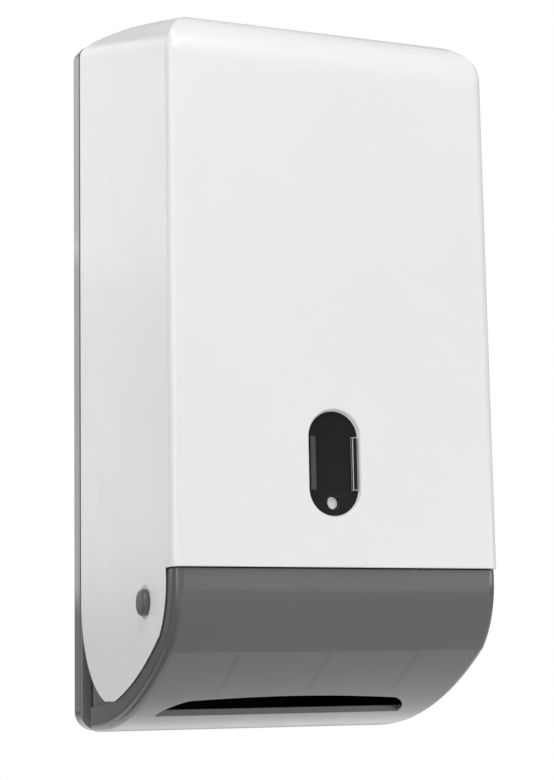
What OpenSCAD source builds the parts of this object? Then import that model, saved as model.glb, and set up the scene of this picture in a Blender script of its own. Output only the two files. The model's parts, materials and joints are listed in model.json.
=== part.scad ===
/* [Overall size] */
// Width across the cover
width = 135; // [130:1:150]
// Depth from the wall to the front of the cover
depth = 125; // [120:1:140]
// Height of the back plate
height = 294; // [280:1:330]

/* [Back plate] */
// Thickness of the flat web against the wall
web = 2.5; // [2:0.1:3.5]
// Depth of the raised rim
rim_depth = 9.2; // [8:0.1:11]
// Width of the raised rim
rim_width = 5; // [4:0.5:6]
// Rounding of the rim's outer front edge
rim_round = 1.2; // [0.8:0.1:2.5]
// Corner radius at the top of the plate
plate_top_r = 4; // [3.6:0.1:8]
// Corner radius at the bottom of the plate
plate_bottom_r = 8; // [4:0.5:12]
// Distance between the wall screw holes, across
wall_hole_x = 80; // [60:1:90]
// Distance between the wall screw holes, upright
wall_hole_z = 150; // [120:1:160]
// Height of the lower wall screw holes above the bottom
wall_hole_low = 98; // [90:1:110]
// Diameter of the wall screw holes
wall_hole_d = 5.5; // [4:0.1:6.5]
// Diameter of the raised pad round each wall screw hole
wall_pad_d = 13; // [10:0.5:16]
// Height of that pad above the web
wall_pad_h = 1.2; // [0.6:0.1:2]
// Clear width between the two paper guides
guide_gap = 111; // [106:0.5:112]
// Depth of the paper guides, from the wall
guide_depth = 48; // [30:1:60]
// Height of the lower end of the paper guides
guide_low = 82; // [80:1:100]
// Length of the paper guides
guide_length = 178; // [120:1:180]
// Wall of the paper guides and ribs
guide_wall = 2.2; // [1.6:0.1:3]

/* [Cover] */
// Wall of the cover
cover_wall = 2.2; // [2:0.1:2.6]
// Height of the cover's lower front edge
seam_z = 60.5; // [58:0.5:64]
// Radius of the upright front corners
corner_r = 4.5; // [4:0.5:7]
// Radius of the rounded front top edge
brow_r = 22; // [16:1:28]
// Radius of the crowned top
crown_r = 600; // [450:10:900]
// Slope of the top where it meets the back plate, in degrees
crown_slope = 5.5; // [3:0.5:8]
// Rounding along the side edges of the top
crown_edge = 4; // [2.8:0.2:6]
// Radius of the front top corners, seen from the front
shoulder_r = 14; // [10:1:20]
// How far the cover's top sits below the plate's top
top_drop = 0.5; // [0.2:0.1:2]
// Radius of the curved rear edge of the side tongues
tongue_r = 42.3; // [38:0.1:46]
// Height where that curve starts
tongue_z = 53; // [51:0.5:56]
// Height of the blunt lower end of the side tongues
tongue_low = 12; // [11.6:0.1:13]
// Thickness of the thin lip that laps over the tray
lip = 0.7; // [0.5:0.1:0.9]

/* [Tray] */
// Wall of the tray
tray_wall = 2.4; // [2:0.1:3]
// Radius of the bend under the tray's front
bend_r = 38.5; // [36:0.5:41]
// Height of the centre of that bend
bend_z = 56.3; // [55:0.1:58]
// How far the bend turns before the crease, in degrees
bend_turn = 44.3; // [42:0.1:47]
// Slope of the underside just behind the crease, in degrees
floor_slope = 35; // [33:0.5:37]
// Height of the underside at the back plate
floor_rear_z = 0; // [-0.5:0.1:1]
// Width of the tray's edge that shows round the cover's tongues
band = 8.4; // [8:0.1:9]
// How far the lip laps over that edge
lap = 1.5; // [1:0.25:2]
// Height of the tray's side walls, hidden in the cover
tray_side_z = 75; // [73:0.5:78]
// How far the tray's neck is set in at the back
neck_in = 6.9; // [5:0.1:9]
// Radius of the tray's upright rear corners
neck_r = 4.9; // [3:0.1:5]
// Depth where the tray's sides end, in front of the wall
side_end = 16; // [14:0.5:20]
// Half of the length of the dispensing slot
slot_half = 52.5; // [50:0.5:55]
// Offset of the slot from the middle
slot_x = -1.5; // [-3:0.5:3]
// Depth of the slot's straight rear edge, from the wall
slot_rear = 64; // [62:0.5:66]
// Depth of the slot's front edge at the middle, from the wall
slot_front = 83.2; // [81:0.1:85]
// Radius of the slot's arched front edge
slot_arch = 300; // [250:10:400]
// Radius of the slot's ends, as a share of the slot's depth
slot_end = 1; // [0.98:0.01:1.1]
// Height of the paper ribs on the tray's floor
rib_height = 2.5; // [1:0.25:4]
// Thickness of the paper ribs
rib_wall = 1.6; // [1.2:0.1:2.4]
// Distance between the paper ribs
rib_pitch = 37; // [30:0.5:40]

/* [Hinge] */
// Distance of the hinge line behind the front of the cover
hinge_back = 32; // [30:0.5:34]
// Height of the hinge line
hinge_z = 48.8; // [47:0.2:50]
// Diameter of the hinge pins
pin_d = 6; // [5:0.2:7]
// Diameter of the pin heads
pin_head_d = 10.4; // [9:0.2:12]
// How far the pin heads stand proud of the cover
pin_proud = 2.4; // [1.5:0.1:3]
// Diameter of the shallow dish round each head
dish_d = 12.6; // [12.2:0.2:16]
// Depth of that dish
dish_depth = 0.3; // [0.2:0.1:0.8]
// Diameter of the boss that carries each pin inside the tray
pin_boss_d = 13; // [11:0.5:15]
// Length of that boss
pin_boss_l = 3; // [2:0.5:5]
// Diameter of the push-on clips
clip_d = 12; // [10:0.5:14]
// Thickness of the push-on clips
clip_t = 1; // [0.8:0.1:1.5]
// How far the pins reach past their clips
pin_tail = 1.5; // [0.5:0.1:2]
// Distance of the stop studs from the hinge line
stop_r = 36; // [34:0.5:38]
// Diameter of the stop studs
stop_d = 5; // [4:0.2:6]
// Angle of the stop studs below the hinge line when closed
stop_angle = 35; // [32:1:37]
// How far the cover opens, in degrees
open_angle = 60; // [50:1:60]

/* [Window and lock] */
// Offset of the window from the middle
window_x = -2; // [-6:0.5:6]
// Height of the window's centre
window_z = 100; // [96:0.5:110]
// Width of the window opening at the front
window_w = 21.8; // [18:0.1:25]
// Height of the window opening at the front
window_h = 41.5; // [36:0.5:48]
// How much smaller the opening is at the back, each side
window_taper = 0.9; // [0.4:0.1:1.4]
// Thickness of the window plate
plate_t = 1.8; // [1.4:0.1:2.4]
// How far the plate reaches past the opening, each side
plate_lap = 5; // [4.5:0.25:6]
// Corner radius of the window plate
plate_r = 4; // [2:0.5:6]
// Width of the two raised side tabs on the plate
tab_w = 2.1; // [1.4:0.1:2.6]
// Length of the side tabs
tab_l = 20.4; // [14:0.2:21]
// How far the side tabs stand up in the opening
tab_h = 1.5; // [0.8:0.1:1.8]
// Diameter of the pegs that hold the plate
peg_d = 2.4; // [2:0.1:3]
// Diameter of the pegs' flattened heads
peg_head_d = 4.2; // [3.8:0.1:4.8]
// Thickness of the pegs' flattened heads
peg_head_t = 1; // [0.6:0.1:1.4]
// Margin of the plate round the pegs' heads
peg_margin = 0.5; // [0.3:0.1:1]
// Height of the lock pin's centre
lock_z = 85.1; // [84:0.1:90]
// Diameter of the lock pin's nose
nose_d = 4.8; // [4:0.1:5.4]
// Diameter of the hole in the window plate
keyhole_d = 5.2; // [4.6:0.1:6]
// Travel of the lock pin
lock_travel = 3; // [2:0.25:3.5]
// Diameter of the lock pin's collar
collar_d = 7.4; // [6.8:0.1:8]
// Thickness of the collar
collar_t = 2; // [1.5:0.25:3]
// Diameter of the lock pin's tail
tail_d = 3.2; // [2.6:0.1:3.6]
// Length of the spring when closed
spring_l = 10; // [9:0.5:13]
// Wire of the spring
spring_wire = 0.7; // [0.5:0.05:0.8]
// Turns of the spring
spring_turns = 6; // [4:0.5:6.5]
// Wall of the lock barrel
barrel_wall = 1.6; // [1.2:0.1:2.4]
// Length of the cap's plug inside the barrel
cap_plug = 3; // [2.5:0.25:4]
// Thickness of the cap's flange
cap_flange = 1.5; // [1:0.1:2]
// Thickness of the lock bracket
bracket_t = 2.4; // [2:0.1:3]
// Width of the lock bracket
bracket_w = 34; // [30:1:40]
// Depth of the ribs that stiffen the lock bracket
bracket_rib = 3; // [2:0.5:3.5]
// Height of the lower end of the lock bracket
bracket_low = 44; // [43:0.5:46]
// Length of the bosses that carry the lock bracket
bracket_boss_l = 6; // [5:0.25:7]
// Distance between the bracket screws
bracket_screw_x = 24.5; // [24:0.5:26]

/* [Screws and fits] */
// Shank diameter of the tray screws
tray_screw_d = 3.9; // [3:0.1:4.5]
// Head diameter of the tray screws
tray_screw_head = 8; // [6:0.2:9]
// Distance between the tray screws, across
tray_screw_x = 88; // [70:1:90]
// Height of the lower tray screws
tray_screw_low = 24; // [20:1:28]
// Height of the upper tray screws
tray_screw_high = 56; // [50:1:58]
// Height of the tray screws' heads
tray_screw_head_h = 2.6; // [2:0.1:3.2]
// Shank diameter of the bracket screws
bracket_screw_d = 2.8; // [2:0.1:3.2]
// Head diameter of the bracket screws
bracket_screw_head = 5.6; // [4.6:0.2:6.4]
// Height of the bracket screws' heads
bracket_screw_head_h = 2; // [1.6:0.1:2.6]
// Ring of boss that shows round each screw head
boss_ring = 1; // [0.5:0.1:1.5]
// Running gap between parts that move on each other
run = 0.3; // [0.2:0.05:0.4]
// Radial gap of a pin or screw in its hole
fit = 0.15; // [0.1:0.05:0.2]
// Gap between the cover and the back plate
rear_gap = 0.5; // [0.4:0.1:1]
// Gap between the cover's sides and the tray's sides
side_gap = 0.5; // [0.4:0.1:0.8]

/* [Hidden] */
$fn = 96;

white = "#f1f1f0";
grey = "#85878a";
smoke = "#26282a";
steel = "#b9bcc0";

// Depths are measured from the wall towards the front, along minus Y
half = width / 2;
hinge_y = -depth + hinge_back;
tray_gap = lip + run;
tray_half = half - tray_gap;
tray_y = -depth + tray_gap;
tray_edge = corner_r - tray_gap;
tray_rear = -rim_depth - run;
tray_top = seam_z - run;
pocket = band + lap;
pocket_half = half - cover_wall - side_gap;
tray_inner_half = pocket_half - tray_wall;
neck_half = tray_half - neck_in;
cover_rear = -rim_depth - rear_gap;
far = 2 * height;

// Bend and floor of the tray: two arcs that meet in a crease
bend_y = tray_y + bend_r;
crease = [bend_y - bend_r * cos(bend_turn), bend_z - bend_r * sin(bend_turn)];
crease_lap = bend_r * cos(bend_turn + floor_slope);
floor_run = tray_rear - crease[0];
floor_drop = crease[1] - floor_rear_z;
floor_chord = sqrt(floor_run * floor_run + floor_drop * floor_drop);
floor_r = floor_chord / (2 * sin(floor_slope - atan2(floor_drop, floor_run)));
floor_c = crease + floor_r * [sin(floor_slope), cos(floor_slope)];

// Crown and brow of the cover: two arcs that meet without an edge
crown_c = [cover_rear + crown_r * sin(crown_slope), height - top_drop - crown_r * cos(crown_slope)];
brow_y = -depth + brow_r;
brow_z = crown_c[1] + sqrt(pow(crown_r - brow_r, 2) - pow(brow_y - crown_c[0], 2));
crown_way = ([brow_y, brow_z] - crown_c) / (crown_r - brow_r);

// Room that the lower edge of the cover needs when it turns over the tray
turn_outer = norm([hinge_back - tray_gap, tray_top - hinge_z]) + run;
turn_inner = min(
    hinge_back - tray_gap - pocket,
    bend_r - pocket - norm([hinge_y, hinge_z] - [bend_y, bend_z]),
    floor_r - pocket - norm([hinge_y, hinge_z] - floor_c)
) - run;

// Lock parts, from the front to the back
plate_front = -depth + cover_wall;
plate_back = plate_front + plate_t;
nose_front = plate_back + run;
bracket_front = tray_y + tray_wall + bracket_boss_l;
bracket_back = bracket_front + bracket_t;
barrel_bore = collar_d + 2 * run;
barrel_d = barrel_bore + 2 * barrel_wall;
collar_front = bracket_back + run;
collar_back = collar_front + collar_t;
cap_front = collar_back + spring_l;
spring_d = collar_d - spring_wire - 2 * fit;
tail_back = cap_front + cap_plug + cap_flange - lock_travel;

// Lowers the bench frame, which starts at the bottom, to the middle of the back plate
module hung() {
    translate([0, 0, -height / 2]) children();
}

module both_sides() {
    children();
    mirror([1, 0, 0]) children();
}

// Turns a flat outline drawn as [depth, height] into a solid between two widths
module across(from, to) {
    translate([from, 0, 0]) rotate([90, 0, 90]) linear_extrude(to - from) children();
}

// Cylinder along the width
module rod_x(d, from, to, y, z) {
    translate([from, y, z]) rotate([0, 90, 0]) cylinder(d = d, h = to - from);
}

// Cylinder along the depth
module rod_y(d, from, to, x, z) {
    translate([x, to, z]) rotate([90, 0, 0]) cylinder(d = d, h = to - from);
}

// Drum along the width with rounded rims
module drum(r, half_w, edge, y, z) {
    translate([0, y, z]) rotate([0, 90, 0]) rotate_extrude($fn = r > 100 ? 720 : 180) {
        translate([0, -half_w + edge]) square([r, 2 * (half_w - edge)]);
        translate([0, -half_w]) square([r - edge, 2 * half_w]);
        for (side = [-1, 1]) translate([r - edge, side * (half_w - edge)]) circle(edge);
    }
}

// Plan outline with two rounded front corners
module plan(half_w, front, rear, r) {
    translate([-half_w, front + r]) square([2 * half_w, rear - front - r]);
    translate([-half_w + r, front]) square([2 * (half_w - r), r + 1]);
    for (side = [-1, 1]) translate([side * (half_w - r), front + r]) circle(r);
}

// Side outline of the tray, set in by an even amount
module tray_profile(inset, rear, top) {
    turn = [-cos(bend_turn), -sin(bend_turn)];
    along = [sin(bend_turn), -cos(bend_turn)];
    toe = [bend_y, bend_z] + (bend_r - inset) * turn;
    heel = toe + 2 * bend_r * along;
    intersection() {
        union() {
            translate([bend_y, bend_z]) circle(bend_r - inset);
            translate([tray_y + inset, bend_z]) square([rear - tray_y - inset, top - bend_z]);
            polygon([[bend_y, bend_z], toe, heel, [rear, heel[1]], [rear, bend_z]]);
        }
        translate(floor_c) circle(floor_r - inset, $fn = 720);
    }
}

// The tray's body as a full solid with rounded edges
module tray_mass() {
    translate([0, 0, bend_z]) linear_extrude(tray_side_z - bend_z)
        plan(tray_half, tray_y, tray_rear, tray_edge);
    intersection() {
        union() {
            intersection() {
                drum(bend_r, tray_half, tray_edge, bend_y, bend_z);
                translate([-half, -depth, 0]) cube([width, depth + crease[0] + crease_lap, bend_z]);
            }
            across(-tray_half, tray_half) intersection() {
                tray_profile(0, tray_rear, tray_top);
                translate([crease[0] + crease_lap, bend_z - far]) square(far);
            }
        }
        drum(floor_r, tray_half, tray_edge, floor_c[0], floor_c[1]);
    }
}

// Plan outline of the tray's rear half, with its rounded ends and its neck
module neck_plan(half_w, end, neck, rear, r) {
    translate([-half_w, -depth]) square([2 * half_w, depth + end - r]);
    translate([-half_w + r, -depth]) square([2 * (half_w - r), depth + end]);
    for (side = [-1, 1]) translate([side * (half_w - r), end - r]) circle(r);
    translate([-neck, -depth]) square([2 * neck, depth + rear]);
}

// Plan outline of the dispensing slot: an arched front edge between two round ends
module slot_outline() {
    end_r = slot_end * (slot_front - slot_rear);
    end_x = slot_half - end_r;
    intersection() {
        translate([0, slot_arch - slot_front]) circle(slot_arch, $fn = 720);
        union() {
            translate([-end_x, -depth]) square([2 * end_x, depth - slot_rear]);
            for (side = [-1, 1]) translate([side * end_x, -slot_rear]) circle(end_r);
        }
        translate([-half, -depth]) square([width, depth - slot_rear]);
    }
}

// Arc slot in which a stop stud travels
module stop_track(d, from, to) {
    span = [for (t = [0:0.25:1]) -stop_angle + open_angle * t];
    reach = 2 * stop_r;
    translate([0, hinge_y, hinge_z]) {
        intersection() {
            difference() {
                rod_x(2 * stop_r + d, from, to, 0, 0);
                rod_x(2 * stop_r - d, from - 1, to + 1, 0, 0);
            }
            across(from, to) polygon(concat([[0, 0]], [for (a = span) reach * [cos(a), sin(a)]]));
        }
        for (a = [-stop_angle, open_angle - stop_angle])
            rod_x(d, from, to, stop_r * cos(a), stop_r * sin(a));
    }
}

// Front outline of the back plate
module plate_outline() {
    top = plate_top_r;
    low = plate_bottom_r;
    translate([-half, low]) square([width, height - low - top]);
    translate([-half + top, low]) square([width - 2 * top, height - low]);
    translate([-half + low, 0]) square([width - 2 * low, low + 1]);
    for (s = [-1, 1]) {
        translate([s * (half - top), height - top]) circle(top);
        translate([s * (half - low), low]) circle(low);
    }
}

// The back plate as a full block with rounded front edges
module plate_block() {
    intersection() {
        rotate([90, 0, 0]) linear_extrude(rim_depth) plate_outline();
        linear_extrude(far, center = true) plan(half, -rim_depth, 1, rim_round);
        across(-half - 1, half + 1) translate([0, height / 2]) mirror([1, -1])
            plan(height / 2, -rim_depth, 1, rim_round);
    }
}

module screw(d, head_d, head_h, length) {
    cylinder(d = d, h = length);
    translate([0, 0, -head_h]) cylinder(d1 = 0.7 * head_d, d2 = head_d, h = 0.4 * head_h);
    translate([0, 0, -0.6 * head_h]) cylinder(d = head_d, h = 0.6 * head_h);
}

module at_tray_screws() {
    for (x = [-0.5, 0.5], z = [tray_screw_low, tray_screw_high])
        translate([x * tray_screw_x, 0, z]) children();
}

module at_bracket_screws() {
    z = (bracket_low + tray_top) / 2;
    for (x = [-0.5, 0.5]) translate([window_x + x * bracket_screw_x, 0, z]) children();
}

module back_plate() {
    color(grey) hung() difference() {
        union() {
            difference() {
                plate_block();
                translate([0, -web, 0]) pan_hollow();
            }
            for (x = [-0.5, 0.5], z = [0, wall_hole_z])
                rod_y(wall_pad_d, -web - wall_pad_h, 0, x * wall_hole_x, wall_hole_low + z);
            at_tray_screws() rod_y(tray_screw_head + 2 * boss_ring, tray_rear, 0, 0, 0);
            paper_guides();
        }
        for (x = [-0.5, 0.5], z = [0, wall_hole_z])
            rod_y(wall_hole_d, -rim_depth, 1, x * wall_hole_x, wall_hole_low + z);
        at_tray_screws() rod_y(tray_screw_d + 2 * fit, -rim_depth - 1, -web / 2, 0, 0);
    }
}

module pan_hollow() {
    x = half - rim_width;
    r = plate_bottom_r / 2;
    rotate([90, 0, 0]) linear_extrude(rim_depth) {
        translate([-x, rim_width + r]) square([2 * x, height - 2 * rim_width - 2 * r]);
        translate([-x + r, rim_width]) square([2 * (x - r), height - 2 * rim_width]);
        for (s = [-1, 1], z = [rim_width + r, height - rim_width - r])
            translate([s * (x - r), z]) circle(r);
    }
}

// Two upright fins that keep the stack of paper in the middle
module paper_guides() {
    r = guide_depth / 3;
    both_sides() across(guide_gap / 2, guide_gap / 2 + guide_wall) translate([0, guide_low]) {
        translate([-guide_depth, r]) square([guide_depth - web / 2, guide_length - 2 * r]);
        translate([-guide_depth + r, 0]) square([guide_depth - r - web / 2, guide_length]);
        for (z = [r, guide_length - r]) translate([-guide_depth + r, z]) circle(r);
    }
}

module tray() {
    color(grey) hung() difference() {
        union() {
            difference() {
                tray_shell();
                translate([0, 0, floor_rear_z - tray_wall]) linear_extrude(bend_z) translate([slot_x, 0]) slot_outline();
            }
            paper_ribs();
            both_sides() rod_x(pin_boss_d, tray_inner_half - pin_boss_l, pocket_half - 1, hinge_y, hinge_z);
            at_bracket_screws() rod_y(bracket_screw_head + 2 * boss_ring, tray_y + 1, bracket_front, 0, 0);
        }
        both_sides() rod_x(pin_d + 2 * fit, tray_inner_half - pin_boss_l - 1, half, hinge_y, hinge_z);
        both_sides() stop_track(stop_d + 2 * run, tray_inner_half - 1, half);
        at_tray_screws() rod_y(tray_screw_d + 2 * fit, tray_rear - tray_wall - 1, tray_rear + 1, 0, 0);
        at_bracket_screws()
            rod_y(bracket_screw_d + 2 * fit, tray_y + tray_wall, bracket_front + 1, 0, 0);
    }
}

module tray_shell() {
    difference() {
        intersection() {
            tray_mass();
            linear_extrude(far, center = true)
                neck_plan(tray_half, -side_end, neck_half, tray_rear, neck_r);
        }
        intersection() {
            across(-tray_inner_half, tray_inner_half)
                tray_profile(tray_wall, tray_rear - tray_wall, tray_side_z + 1);
            linear_extrude(far, center = true)
                neck_plan(tray_inner_half, -side_end - tray_wall, neck_half - tray_wall,
                    tray_rear - tray_wall, neck_r);
        }
        both_sides() across(pocket_half, half + 1) tray_profile(pocket, 0, far);
        translate([-half, -depth, tray_top]) cube([width, tray_gap + pocket, far]);
    }
}

// Low ribs on the floor, on which the paper slides to the slot
module paper_ribs() {
    for (i = [-1:1]) across(i * rib_pitch - rib_wall / 2, i * rib_pitch + rib_wall / 2) intersection() {
        difference() {
            tray_profile(tray_wall / 2, tray_rear, seam_z);
            tray_profile(tray_wall + rib_height, tray_rear, far);
        }
        translate([crease[0], 0]) square([-slot_front - tray_wall - crease[0], bend_z]);
    }
}

module tray_screws() {
    color(steel) hung() at_tray_screws() translate([0, tray_rear - tray_wall, 0]) rotate([-90, 0, 0])
        screw(tray_screw_d, tray_screw_head, tray_screw_head_h, tray_wall + rim_depth - web);
}

module hinge_pin() {
    shoulder = half - dish_depth + run;
    tip = tray_inner_half - pin_boss_l - clip_t - pin_tail;
    crown = pin_proud / 2;
    rod_x(pin_d, tip, shoulder + 0.1, hinge_y, hinge_z);
    translate([shoulder, hinge_y, hinge_z]) rotate([0, 90, 0]) rotate_extrude() {
        square([pin_head_d / 2, half + pin_proud - shoulder - crown]);
        square([pin_head_d / 2 - crown, half + pin_proud - shoulder]);
        translate([pin_head_d / 2 - crown, half + pin_proud - shoulder - crown]) circle(crown);
    }
}

module hinge_pin_left() {
    color(grey) hung() mirror([1, 0, 0]) hinge_pin();
}

module hinge_pin_right() {
    color(grey) hung() hinge_pin();
}

module hinge_clips() {
    seat = tray_inner_half - pin_boss_l;
    color(steel) hung() both_sides() difference() {
        rod_x(clip_d, seat - clip_t, seat, hinge_y, hinge_z);
        rod_x(pin_d + 2 * fit, seat - clip_t - 1, seat + 1, hinge_y, hinge_z);
    }
}

module lock_bracket() {
    r = barrel_d / 2 + bracket_rib;
    color(grey) hung() difference() {
        union() {
            translate([window_x, bracket_back, 0]) rotate([90, 0, 0]) linear_extrude(bracket_t) {
                translate([-bracket_w / 2, bracket_low]) square([bracket_w, tray_side_z - bracket_low]);
                translate([-r, bracket_low]) square([2 * r, lock_z - bracket_low]);
                translate([0, lock_z]) circle(r);
            }
            rod_y(barrel_d, bracket_front, cap_front + cap_plug, window_x, lock_z);
            for (x = [-r, r - bracket_t]) translate([window_x + x, bracket_back - 1, bracket_low])
                cube([bracket_t, bracket_rib + 1, lock_z - bracket_low]);
        }
        rod_y(barrel_bore, bracket_back, cap_front + cap_plug + 1, window_x, lock_z);
        rod_y(nose_d + 2 * run, bracket_front - 1, bracket_back + 1, window_x, lock_z);
        at_bracket_screws() rod_y(bracket_screw_d + 2 * fit, bracket_front - 1, bracket_back + 1, 0, 0);
    }
}

module bracket_screws() {
    color(steel) hung() at_bracket_screws() translate([0, bracket_back, 0]) rotate([90, 0, 0])
        screw(bracket_screw_d, bracket_screw_head, bracket_screw_head_h, bracket_t + bracket_boss_l - 1);
}

// Points of the spring's wire, one ring of corners for each step along the helix
spring_steps = 12;
spring_sides = 6;
function spring_point(i) = let (a = 360 * i / spring_steps, n = spring_turns * spring_steps)
    [spring_d / 2 * cos(a), spring_wire / 2 + (spring_l - spring_wire) * i / n, spring_d / 2 * sin(a)];
function spring_ring(i) = let (p = spring_point(i), a = 360 * i / spring_steps)
    [for (k = [0:spring_sides - 1]) let (b = 360 * k / spring_sides)
        p + spring_wire / 2 * [cos(b) * cos(a), sin(b), cos(b) * sin(a)]];
spring_gap = (spring_l - spring_wire) / spring_turns - spring_wire;
echo(least_gap_of_spring = spring_gap);

module lock_spring() {
    rings = spring_turns * spring_steps;
    points = [for (i = [0:rings]) each spring_ring(i)];
    last = rings * spring_sides;
    ends = [
        [for (k = [spring_sides - 1:-1:0]) k],
        [for (k = [0:spring_sides - 1]) last + k]
    ];
    sides = [for (i = [0:rings - 1], k = [0:spring_sides - 1])
        let (a = i * spring_sides + k, b = i * spring_sides + (k + 1) % spring_sides)
        each [[a, b, a + spring_sides], [b, b + spring_sides, a + spring_sides]]];
    color(steel) hung() translate([window_x, collar_back, lock_z]) polyhedron(points, concat(ends, sides));
}

module lock_cap() {
    color(grey) hung() difference() {
        union() {
            rod_y(barrel_bore - 2 * fit, cap_front, cap_front + cap_plug, window_x, lock_z);
            rod_y(barrel_d, cap_front + cap_plug, cap_front + cap_plug + cap_flange, window_x, lock_z);
        }
        rod_y(tail_d + 2 * run, cap_front - 1, cap_front + cap_plug + cap_flange + 1, window_x, lock_z);
    }
}

module lock_pin() {
    color(white) hung() {
        rod_y(nose_d, nose_front, collar_back - collar_t / 2, window_x, lock_z);
        rod_y(collar_d, collar_front, collar_back, window_x, lock_z);
        rod_y(tail_d, collar_back - collar_t / 2, tail_back, window_x, lock_z);
    }
}

// The cover as a full solid: crown, brow and front, with rounded side edges
module cover_mass() {
    meet = crown_c + crown_way * crown_r;
    intersection() {
        union() {
            intersection() {
                drum(crown_r, half, crown_edge, crown_c[0], crown_c[1]);
                translate([-half, meet[0], brow_z - 1]) cube([width, cover_rear - meet[0], height]);
            }
            drum(brow_r, half, crown_edge, brow_y, brow_z);
            translate([-half, -depth, seam_z]) cube([width, depth + cover_rear, brow_z - seam_z]);
        }
        cover_sides(0);
    }
}

// Upright corners and shoulders that trim the cover, set in by an even amount
module cover_sides(inset) {
    meet = crown_c + crown_way * (crown_r - inset);
    intersection() {
        linear_extrude(far, center = true) plan(half - inset, -depth + inset, depth, corner_r - inset);
        translate([0, meet[0], meet[1]]) rotate([asin(-crown_way[0]) - 90, 0, 0])
            translate([0, 0, -depth]) linear_extrude(3 * depth)
                plan(half - inset, 0, far, shoulder_r - inset);
    }
}

// The room inside the cover
module cover_room() {
    meet = crown_c + crown_way * (crown_r - cover_wall);
    front = -depth + cover_wall;
    intersection() {
        across(-half, half) {
            intersection() {
                translate(crown_c) circle(crown_r - cover_wall, $fn = 720);
                translate([meet[0], brow_z - 1]) square([-meet[0], height]);
            }
            translate([brow_y, brow_z]) circle(brow_r - cover_wall);
            translate([front, -cover_wall]) square([-front, brow_z + cover_wall]);
        }
        cover_sides(cover_wall);
    }
}

// Side outline of the tongues that carry the hinge
module tongue_outline(inset) {
    intersection() {
        tray_profile(inset, cover_rear, seam_z + cover_wall);
        union() {
            translate([cover_rear - tongue_r, tongue_z]) circle(tongue_r);
            translate([-depth, 0]) square([depth + cover_rear - tongue_r, seam_z + cover_wall]);
            translate([-depth, tongue_z]) square([depth + cover_rear, far]);
        }
    }
}

// Directions between which the cover's side passes over the tray's edge
module turning_sector() {
    reach = 4 * hinge_back;
    across(-half, half) translate([hinge_y, hinge_z])
        polygon(concat([[0, 0]], [for (a = [80:34:250]) reach * [cos(a), sin(a)]]));
}

module window_cut() {
    r = window_w / 2;
    rise = window_h / 2 - r;
    steep = window_taper / cover_wall;
    outer = r + steep;
    inner = r - window_taper - steep;
    front = -depth - 1;
    long = cover_wall + 2;
    for (z = [-rise, rise]) translate([window_x, front, window_z + z]) rotate([-90, 0, 0])
        cylinder(r1 = outer, r2 = inner, h = long);
    translate([window_x, front, window_z - rise]) linear_extrude(2 * rise)
        polygon([[-outer, 0], [outer, 0], [inner, long], [-inner, long]]);
}

module at_pegs() {
    edge = plate_lap - peg_head_d / 2 - peg_margin;
    x = window_w / 2 + edge;
    z = window_h / 2 + edge;
    for (i = [-1, 1], k = [-1, 1]) translate([window_x + i * x, 0, window_z + k * z]) children();
}

module cover() {
    color(white) hung() {
        difference() {
            union() {
                difference() {
                    cover_mass();
                    cover_room();
                }
                both_sides() across(half - cover_wall, half) intersection() {
                    tongue_outline(band);
                    translate([-depth, tongue_low]) square([depth, far]);
                }
            }
            intersection() {
                difference() {
                    drum(turn_outer, half - lip, corner_r - lip, hinge_y, hinge_z);
                    rod_x(2 * turn_inner, -half, half, hinge_y, hinge_z);
                }
                turning_sector();
            }
            both_sides() across(half - cover_wall - 1, half - lip) difference() {
                tongue_outline(band - 1);
                tray_profile(pocket + run, 0, far);
                translate([-depth, tray_top]) square([depth, far]);
            }
            window_cut();
            both_sides() rod_x(pin_d + 2 * fit, half - 2 * cover_wall, half + 1, hinge_y, hinge_z);
            both_sides() rod_x(dish_d, half - dish_depth, half + 1, hinge_y, hinge_z);
        }
        both_sides() translate([0, hinge_y, hinge_z])
            rod_x(stop_d, tray_inner_half + run, half - cover_wall / 2,
                stop_r * cos(stop_angle), -stop_r * sin(stop_angle));
        at_pegs() {
            rod_y(peg_d, plate_front - cover_wall / 2, plate_back + peg_head_t / 2, 0, 0);
            rod_y(peg_head_d, plate_back, plate_back + peg_head_t, 0, 0);
        }
    }
}

module window_plate() {
    x = window_w / 2 + plate_lap;
    z = window_h / 2 + plate_lap;
    color(smoke) hung() difference() {
        union() {
            translate([window_x, plate_back, window_z]) rotate([90, 0, 0]) linear_extrude(plate_t) {
                square([2 * x, 2 * (z - plate_r)], center = true);
                square([2 * (x - plate_r), 2 * z], center = true);
                for (i = [-1, 1], k = [-1, 1])
                    translate([i * (x - plate_r), k * (z - plate_r)]) circle(plate_r);
            }
            for (s = [0, 1]) translate([window_x, 0, window_z]) mirror([s, 0, 0])
                translate([window_w / 2 - window_taper - run - tab_w, plate_front - tab_h, -tab_l / 2])
                    cube([tab_w, tab_h + plate_t / 2, tab_l]);
        }
        rod_y(keyhole_d, plate_front - 1, plate_back + 1, window_x, lock_z);
        at_pegs() rod_y(peg_d + 2 * fit, plate_front - 1, plate_back + 1, 0, 0);
    }
}

back_plate();
tray();
tray_screws();
hinge_pin_left();
hinge_pin_right();
hinge_clips();
lock_bracket();
bracket_screws();
lock_spring();
lock_cap();
lock_pin();
cover();
window_plate();
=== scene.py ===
import json
import math

import bmesh
import bpy
from mathutils import Matrix, Vector
from mathutils.bvhtree import BVHTree


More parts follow.
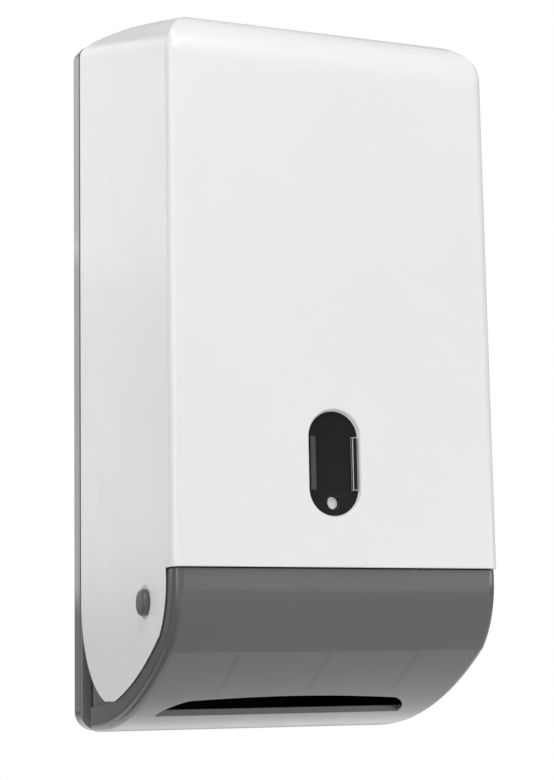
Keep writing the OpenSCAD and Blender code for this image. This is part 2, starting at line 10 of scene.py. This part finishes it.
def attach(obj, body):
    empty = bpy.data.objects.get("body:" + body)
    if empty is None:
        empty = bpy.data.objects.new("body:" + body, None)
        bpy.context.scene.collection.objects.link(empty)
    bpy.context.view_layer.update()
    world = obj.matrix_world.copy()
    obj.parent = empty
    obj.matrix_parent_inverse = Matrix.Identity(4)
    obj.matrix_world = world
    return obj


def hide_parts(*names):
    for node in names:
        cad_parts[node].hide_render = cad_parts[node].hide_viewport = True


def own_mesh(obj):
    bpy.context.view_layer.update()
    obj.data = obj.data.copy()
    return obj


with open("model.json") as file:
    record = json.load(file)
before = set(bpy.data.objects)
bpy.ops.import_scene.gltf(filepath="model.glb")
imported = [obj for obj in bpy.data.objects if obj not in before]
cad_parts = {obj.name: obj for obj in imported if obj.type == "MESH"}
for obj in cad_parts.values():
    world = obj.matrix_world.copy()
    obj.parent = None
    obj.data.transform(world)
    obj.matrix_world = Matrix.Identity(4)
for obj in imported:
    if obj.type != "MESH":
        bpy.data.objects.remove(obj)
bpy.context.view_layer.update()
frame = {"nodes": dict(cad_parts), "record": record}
nodes = frame["nodes"]
scene = bpy.context.scene
record = frame["record"]
SLOT = {row["node"]: row["material_slot"] for row in record["subparts"]}
BODY = {node: body for body, members in record["behaviour"]["bodies"].items() for node in members}
JOINT = {row["name"]: row for row in record["behaviour"]["joints"]}


# Places on the part, in metres, in the frame of the CAD model
CREASE = Vector((0, -0.11305, -0.11759))
CREASE_REACH = 0.0004
RIB_PITCH = 0.037
RIB_END = -0.0856
LEDGE_SIDE = 0.064
LEDGE_FRONT = -0.046
LEDGE_LOW = -0.139
LEDGE_HIGH = -0.134
HINGE = Vector(JOINT["cover_tip"]["pos_m"])
HINGE_REACH = 0.0075
WINDOW = Vector((-0.002, -0.125, -0.047))
TAB_DEPTH = 0.0021
TAB_HALF_LENGTH = 0.0106
HOLLOW = 0.03

# Roundings of the edges
HOUSING_EDGE = 0.0004
WINDOW_EDGE = 0.0003
PIN_EDGE = 0.0002
EDGE_SEGMENTS = 3
MERGE_DISTANCE = 2e-6
FLAT_ANGLE = math.radians(0.05)

# Marks in the plastic, and the painted shade of the sink marks on the tray
FLOW_SCALE = 16.0
GLOSS_SCALE = 55.0
PEEL_SCALE = 260.0
PEEL_STRENGTH = 0.02
PEEL_HEIGHT = 0.0002
PLASTIC_IOR = 1.5
NOISE_LOW = 0.3
NOISE_HIGH = 0.7
SINK_CORE = 0.0002
SINK_EDGE = 0.0016
SINK_START = 0.001
SINK_FADE = 0.004
SINK_SHADE = 0.83

# Stage and camera
FLOOR_Z = -0.42
FLOOR_SIZE = 5.0
FLOOR_FADE_START = 0.5
FLOOR_FADE_END = 1.3
FLAG_Z = FLOOR_Z + 0.005
ROOM_STRENGTH = 0.325
CAMERA_PLACE = Vector((-0.3045, -0.7924, -0.132))
CAMERA_YAW = math.radians(22.69)
CAMERA_PITCH = math.radians(8.80)
CAMERA_ROLL = math.radians(-1.03)
CAMERA_LENS = 89.69


# Materials
def new_material(name):
    mat = bpy.data.materials.new(name)
    mat.use_nodes = True
    tree = mat.node_tree
    tree.nodes.clear()
    out = tree.nodes.new("ShaderNodeOutputMaterial")
    shader = tree.nodes.new("ShaderNodeBsdfPrincipled")
    tree.links.new(shader.outputs["BSDF"], out.inputs["Surface"])
    coord = tree.nodes.new("ShaderNodeTexCoord")
    return mat, tree, shader, coord


def noise(tree, coord, scale, detail):
    node = tree.nodes.new("ShaderNodeTexNoise")
    node.inputs["Scale"].default_value = scale
    node.inputs["Detail"].default_value = detail
    tree.links.new(coord.outputs["Object"], node.inputs["Vector"])
    return node.outputs["Fac"]


def ramp(tree, source, start, end, low, high, kind="SMOOTHSTEP"):
    """The source's stretch from start to end, brought to low and high."""
    node = tree.nodes.new("ShaderNodeMapRange")
    node.interpolation_type = kind
    node.inputs["From Min"].default_value = start
    node.inputs["From Max"].default_value = end
    node.inputs["To Min"].default_value = low
    node.inputs["To Max"].default_value = high
    tree.links.new(source, node.inputs["Value"])
    return node.outputs["Result"]


def span(tree, source, low, high):
    """A noise spread over low to high."""
    return ramp(tree, source, NOISE_LOW, NOISE_HIGH, low, high, "LINEAR")


def math_node(tree, operation, first, second):
    node = tree.nodes.new("ShaderNodeMath")
    node.operation = operation
    tree.links.new(first, node.inputs[0])
    if isinstance(second, float):
        node.inputs[1].default_value = second
    else:
        tree.links.new(second, node.inputs[1])
    return node.outputs["Value"]


def blend_colours(tree, factor, first, second):
    node = tree.nodes.new("ShaderNodeMix")
    node.data_type = "RGBA"
    tree.links.new(factor, node.inputs["Factor"])
    node.inputs["A"].default_value = (*first, 1)
    node.inputs["B"].default_value = (*second, 1)
    return node.outputs["Result"]


def plastic(name, first, second, rough, specular=0.5):
    """Moulded plastic: slow flow marks in the colour, an uneven gloss and a fine orange-peel surface."""
    mat, tree, shader, coord = new_material(name)
    flow = span(tree, noise(tree, coord, FLOW_SCALE, 3.0), 0.0, 1.0)
    tree.links.new(blend_colours(tree, flow, first, second), shader.inputs["Base Color"])
    gloss = span(tree, noise(tree, coord, GLOSS_SCALE, 2.0), rough * 0.88, rough * 1.12)
    tree.links.new(gloss, shader.inputs["Roughness"])
    bump = tree.nodes.new("ShaderNodeBump")
    bump.inputs["Strength"].default_value = PEEL_STRENGTH
    bump.inputs["Distance"].default_value = PEEL_HEIGHT
    tree.links.new(noise(tree, coord, PEEL_SCALE, 1.0), bump.inputs["Height"])
    tree.links.new(bump.outputs["Normal"], shader.inputs["Normal"])
    shader.inputs["IOR"].default_value = PLASTIC_IOR
    shader.inputs["Specular IOR Level"].default_value = specular
    return mat


def paint_sink_shade(mat):
    """Painted shade: faint darker lines on the underside of the tray, where the paper ribs stand behind
    the wall.
    """
    tree = mat.node_tree
    shader = tree.nodes["Principled BSDF"]
    place = tree.nodes.new("ShaderNodeSeparateXYZ")
    tree.links.new(tree.nodes["Texture Coordinate"].outputs["Object"], place.inputs["Vector"])
    away = math_node(tree, "PINGPONG", place.outputs["X"], RIB_PITCH / 2)
    line = ramp(tree, away, SINK_CORE, SINK_EDGE, 1.0, 0.0)
    below = ramp(tree, place.outputs["Y"], CREASE.y, CREASE.y + SINK_START, 0.0, 1.0)
    ahead = ramp(tree, place.outputs["Y"], RIB_END - SINK_FADE, RIB_END, 1.0, 0.0)
    amount = math_node(tree, "MULTIPLY", math_node(tree, "MULTIPLY", line, below), ahead)
    shade = tree.nodes.new("ShaderNodeMix")
    shade.data_type = "RGBA"
    shade.blend_type = "MULTIPLY"
    plain = shader.inputs["Base Color"].links[0].from_socket
    tree.links.new(amount, shade.inputs["Factor"])
    tree.links.new(plain, shade.inputs["A"])
    shade.inputs["B"].default_value = (SINK_SHADE, SINK_SHADE, SINK_SHADE, 1)
    tree.links.new(shade.outputs["Result"], shader.inputs["Base Color"])


def add_painted_glow(mat, strength):
    """Painted light: a glow of its own, for a piece that sits in shadow behind its hole."""
    shader = mat.node_tree.nodes["Principled BSDF"]
    shader.inputs["Emission Color"].default_value = (1, 1, 1, 1)
    shader.inputs["Emission Strength"].default_value = strength


def metal(name, first, second, rough):
    """Plated steel with a fine brushed gloss."""
    mat, tree, shader, coord = new_material(name)
    tint = span(tree, noise(tree, coord, 140.0, 3.0), 0.0, 1.0)
    tree.links.new(blend_colours(tree, tint, first, second), shader.inputs["Base Color"])
    brushed = span(tree, noise(tree, coord, 700.0, 2.0), rough * 0.7, rough * 1.3)
    tree.links.new(brushed, shader.inputs["Roughness"])
    shader.inputs["Metallic"].default_value = 1.0
    return mat


white = plastic("white_abs", (0.86, 0.86, 0.858), (0.846, 0.846, 0.844), 0.24)
grey = plastic("grey_abs", (0.112, 0.113, 0.114), (0.104, 0.105, 0.106), 0.14)
smoke = plastic("smoked_plastic", (0.012, 0.0122, 0.0125), (0.01, 0.0102, 0.0105), 0.16, 0.25)
# painted highlight: the right tab's rounded edges are painted mid grey for the light they catch
tab_painted_highlight = plastic("smoked_tab_painted_highlight", (0.5, 0.5, 0.5), (0.42, 0.42, 0.42), 0.2)
# painted light: the left tab, the same smoked plastic as the window plate, is painted lighter grey for
# the light the clear tab carries
tab_painted_light = plastic("smoked_tab_painted_light", (0.062, 0.062, 0.062), (0.05, 0.05, 0.05), 0.2)
acetal = plastic("white_acetal_painted_glow", (0.92, 0.92, 0.91), (0.89, 0.89, 0.88), 0.4)
# painted glow on every piece in white acetal, to lift the lock pin's nose out of the shade of its keyhole
add_painted_glow(acetal, 0.12)
tray_grey = plastic("tray_grey_abs", (0.119, 0.12, 0.121), (0.111, 0.112, 0.113), 0.18)
# painted shade: darker lines over the tray's sink marks
paint_sink_shade(tray_grey)
# painted shade: the tray's inner faces are near black, as if the inside lay in shadow
painted_inner_shade = plastic("tray_painted_inner_shade", (0.03, 0.03, 0.03), (0.024, 0.024, 0.024), 0.55, 0.15)
# painted reflection: a lighter copy of the base grey, standing for the bright room the plate's side
# mirrors at grazing angles
plate_painted_reflection = plastic("back_plate_painted_reflection_grey", (0.168, 0.169, 0.17), (0.156, 0.157, 0.158), 0.12)
steel = metal("plated_steel", (0.62, 0.63, 0.64), (0.52, 0.53, 0.55), 0.3)

FINISH = {
    "cover_white": white,
    "base_grey": grey,
    "window_smoke": smoke,
    "lock_white": acetal,
    "steel": steel,
}


# Pieces
def clean_up(bm):
    """Join a CAD node's loose triangles and merge those that lie in one plane."""
    bmesh.ops.remove_doubles(bm, verts=bm.verts[:], dist=MERGE_DISTANCE)
    bmesh.ops.dissolve_degenerate(bm, edges=bm.edges[:], dist=MERGE_DISTANCE)
    bmesh.ops.dissolve_limit(
        bm, angle_limit=FLAT_ANGLE, verts=bm.verts[:], edges=bm.edges[:], use_dissolve_boundaries=False
    )


def round_edges(bm, width, sharp, skip):
    """Round the edges that turn by more than sharp degrees, and return the new faces."""
    hard = [
        e
        for e in bm.edges
        if len(e.link_faces) == 2
        and e.calc_face_angle(0.0) > math.radians(sharp)
        and not (skip and skip(e.verts[0].co, e.verts[1].co))
    ]
    if not width or not hard:
        return set()
    made = bmesh.ops.bevel(
        bm,
        geom=hard,
        offset=width,
        offset_type="OFFSET",
        segments=EDGE_SEGMENTS,
        profile=0.5,
        affect="EDGES",
        clamp_overlap=False,
        material=-1,
        loop_slide=True,
    )
    return set(made["faces"])


def softened(node, width, sharp=32.0, skip=None, keep=None, finish=None, extra=()):
    """A copy of a CAD node with its hard edges rounded.

    skip(a, b) names edges that aren't rounded, and keep(a, b) edges that stay crisp in the shading.
    Each pair in extra is a test, called with a face, whether it comes from the rounding and the mesh's
    tree, and the material of the faces that pass it, which in this script paints shade, light or a
    highlight on them.
    """
    mesh = nodes[node].data.copy()
    mesh.materials.clear()
    bm = bmesh.new()
    bm.from_mesh(mesh)
    clean_up(bm)
    rounded = round_edges(bm, width, sharp, skip)
    for f in bm.faces:
        f.smooth = True
    if extra:
        bm.normal_update()
        tree = BVHTree.FromBMesh(bm)
        for f in bm.faces:
            for i, (test, _) in enumerate(extra):
                if test(f, f in rounded, tree):
                    f.material_index = i + 1
    if keep:
        for e in bm.edges:
            if keep(e.verts[0].co, e.verts[1].co):
                e.smooth = False
    bmesh.ops.triangulate(bm, faces=[f for f in bm.faces if len(f.verts) > 4])
    bm.to_mesh(mesh)
    bm.free()
    piece = bpy.data.objects.new(node + "_skin", mesh)
    scene.collection.objects.link(piece)
    mesh.materials.append(finish or FINISH[SLOT[node]])
    for _, other in extra:
        mesh.materials.append(other)
    weighted = piece.modifiers.new("weighted", "WEIGHTED_NORMAL")
    weighted.keep_sharp = True
    weighted.weight = 60
    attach(piece, BODY[node])
    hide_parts(node)
    return piece


def near_line(a, b, line, reach):
    """Whether an edge lies within reach of a line that runs along X."""
    return all(math.hypot(v.y - line.y, v.z - line.z) < reach for v in (a, b))


def at_hinge(a, b):
    return near_line(a, b, HINGE, HINGE_REACH)


def at_ledge(a, b):
    """Whether an edge belongs to the step under the tray's neck, at the lower rear."""
    return all(
        abs(v.x) > LEDGE_SIDE and v.y > LEDGE_FRONT and LEDGE_LOW < v.z < LEDGE_HIGH for v in (a, b)
    )


def stays_crisp(a, b):
    return near_line(a, b, CREASE, CREASE_REACH) or at_ledge(a, b)


def faces_inside(face, rounded, tree):
    """Whether a face looks across the hollow of its own part; on the tray these faces get painted shade.
    """
    hit = tree.ray_cast(face.calc_center_median() + face.normal * 1e-5, face.normal)
    return hit[0] is not None and hit[3] > HOLLOW


def on_tab(face, side):
    """Whether a face belongs to the raised tab on one side of the window plate."""
    place = face.calc_center_median() - WINDOW
    return side * place.x > 0 and place.y < TAB_DEPTH and abs(place.z) < TAB_HALF_LENGTH


# these faces get the lighter grey of painted light
def left_tab(face, rounded, tree):
    return on_tab(face, -1)


# the right tab's rounded edges get a painted highlight
def right_tab_edge(face, rounded, tree):
    return rounded and on_tab(face, 1)


softened("cover", HOUSING_EDGE, sharp=40.0, skip=at_hinge, keep=at_hinge)
softened(
    "tray",
    HOUSING_EDGE,
    sharp=40.0,
    skip=at_ledge,
    keep=stays_crisp,
    finish=tray_grey,
    # the tray's inner faces get painted shade
    extra=[(faces_inside, painted_inner_shade)],
)
# the back plate gets the lighter grey of painted reflection
softened("back_plate", HOUSING_EDGE, finish=plate_painted_reflection)
# painted light on the left tab, and a painted highlight on the right tab's rounded edges
softened("window_plate", WINDOW_EDGE, extra=[(left_tab, tab_painted_light), (right_tab_edge, tab_painted_highlight)])
for name in ("hinge_pin_left", "hinge_pin_right", "lock_pin"):
    softened(name, PIN_EDGE)
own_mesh(softened("lock_spring", 0.0))
for name in ("lock_bracket", "lock_cap", "tray_screws", "bracket_screws", "hinge_clips"):
    nodes[name].data.materials.clear()
    nodes[name].data.materials.append(FINISH[SLOT[name]])


# Stage, light and camera
def fade_to_white(mat, start, end):
    """Let the camera see the far floor run into the white background."""
    tree = mat.node_tree
    away = tree.nodes.new("ShaderNodeVectorMath")
    away.operation = "LENGTH"
    tree.links.new(tree.nodes["Texture Coordinate"].outputs["Object"], away.inputs[0])
    path = tree.nodes.new("ShaderNodeLightPath")
    far = ramp(tree, away.outputs["Value"], start, end, 0.0, 1.0)
    glow = tree.nodes.new("ShaderNodeEmission")
    mix = tree.nodes.new("ShaderNodeMixShader")
    tree.links.new(math_node(tree, "MULTIPLY", far, path.outputs["Is Camera Ray"]), mix.inputs["Fac"])
    tree.links.new(tree.nodes["Principled BSDF"].outputs["BSDF"], mix.inputs[1])
    tree.links.new(glow.outputs["Emission"], mix.inputs[2])
    tree.links.new(mix.outputs["Shader"], tree.nodes["Material Output"].inputs["Surface"])


def sheet_of(name, corners, mat, height=0.0):
    """A flat four-sided sheet of the stage."""
    bm = bmesh.new()
    bm.faces.new([bm.verts.new(c) for c in corners])
    mesh = bpy.data.meshes.new(name)
    bm.to_mesh(mesh)
    bm.free()
    obj = bpy.data.objects.new(name, mesh)
    obj.location = (0, 0, height)
    scene.collection.objects.link(obj)
    mesh.materials.append(mat)
    return obj


def flag(name, corners):
    """A dark screen that is seen only in the gloss of the part."""
    obj = sheet_of(name, corners, cloth)
    obj.visible_camera = False
    obj.visible_diffuse = False
    obj.visible_shadow = False


pale_floor = plastic("pale_floor", (0.82, 0.82, 0.815), (0.8, 0.8, 0.795), 0.7)
fade_to_white(pale_floor, FLOOR_FADE_START, FLOOR_FADE_END)
half = FLOOR_SIZE / 2
floor_corners = [(-half, -half, 0), (half, -half, 0), (half, half, 0), (-half, half, 0)]
sheet_of("floor", floor_corners, pale_floor, FLOOR_Z)
cloth = plastic("black_cloth", (0.012, 0.012, 0.012), (0.008, 0.008, 0.008), 0.9, 0.1)
flag("flag_left", [(-0.58, 1.45, FLOOR_Z), (-1.5, 0, FLOOR_Z), (-1.5, 0, 0.12), (-0.58, 1.45, 0.02)])
flag("flag_low", [(-0.16, -0.6, FLAG_Z), (-0.16, 0.4, FLAG_Z), (-1.5, 0.4, FLAG_Z), (-1.5, -0.6, FLAG_Z)])


def softbox(name, place, aim, width, height, power):
    light = bpy.data.lights.new(name, "AREA")
    light.shape = "RECTANGLE"
    light.size = width
    light.size_y = height
    light.energy = power
    obj = bpy.data.objects.new(name, light)
    obj.location = place
    obj.rotation_mode = "QUATERNION"
    obj.rotation_quaternion = (Vector(aim) - Vector(place)).to_track_quat("-Z", "Y")
    scene.collection.objects.link(obj)
    return obj


softbox("key", (-0.2, -0.95, 1.15), (0, -0.06, 0.05), 1.2, 0.8, 13.0)
softbox("fill", (0.64, -1.48, -0.16), (0, -0.12, -0.1), 0.5, 0.4, 0.8)
softbox("strip_left", (-1.45, -0.72, 0.3), (0, -0.1, 0.08), 0.55, 1.15, 5.6)
softbox("strip_right", (1.22, -1.04, -0.05), (0, -0.1, -0.06), 1.0, 0.2, 2.9)
softbox("panel_back", (-0.55, 1.5, 0.72), (-0.05, 0, 0.1), 0.8, 0.6, 1.85)
softbox("panel_low", (-0.46, 1.5, 0.2), (-0.05, 0, 0), 0.42, 0.44, 0.58)
softbox("floor_wash", (0.6, 0.85, 0.5), (0.6, 0.75, FLOOR_Z), 1.4, 1.0, 13.5).visible_glossy = False


def background(tree, strength):
    node = tree.nodes.new("ShaderNodeBackground")
    node.inputs["Color"].default_value = (1, 1, 1, 1)
    node.inputs["Strength"].default_value = strength
    return node.outputs["Background"]


def light_the_room():
    """A soft white room, which the camera sees as plain white."""
    world = bpy.data.worlds.new("studio")
    scene.world = world
    world.use_nodes = True
    tree = world.node_tree
    tree.nodes.clear()
    out = tree.nodes.new("ShaderNodeOutputWorld")
    path = tree.nodes.new("ShaderNodeLightPath")
    mix = tree.nodes.new("ShaderNodeMixShader")
    tree.links.new(path.outputs["Is Camera Ray"], mix.inputs["Fac"])
    tree.links.new(background(tree, ROOM_STRENGTH), mix.inputs[1])
    tree.links.new(background(tree, 1.0), mix.inputs[2])
    tree.links.new(mix.outputs["Shader"], out.inputs["Surface"])


def set_camera():
    """The camera at the photo's angle, turned by yaw, then pitch, then roll."""
    ahead = Vector(
        (
            math.sin(CAMERA_YAW) * math.cos(CAMERA_PITCH),
            math.cos(CAMERA_YAW) * math.cos(CAMERA_PITCH),
            math.sin(CAMERA_PITCH),
        )
    )
    level = Vector((math.cos(CAMERA_YAW), -math.sin(CAMERA_YAW), 0))
    above = level.cross(ahead)
    right = math.cos(CAMERA_ROLL) * level + math.sin(CAMERA_ROLL) * above
    up = -math.sin(CAMERA_ROLL) * level + math.cos(CAMERA_ROLL) * above
    camera = bpy.data.cameras.new("camera")
    camera.lens = CAMERA_LENS
    camera.sensor_width = 36.0
    camera.clip_start = 0.05
    camera.clip_end = 20.0
    obj = bpy.data.objects.new("camera", camera)
    turn = Matrix((right, up, -ahead)).transposed().to_4x4()
    obj.matrix_world = Matrix.Translation(CAMERA_PLACE) @ turn
    scene.collection.objects.link(obj)
    scene.camera = obj


light_the_room()
set_camera()
scene.view_settings.view_transform = "Standard"
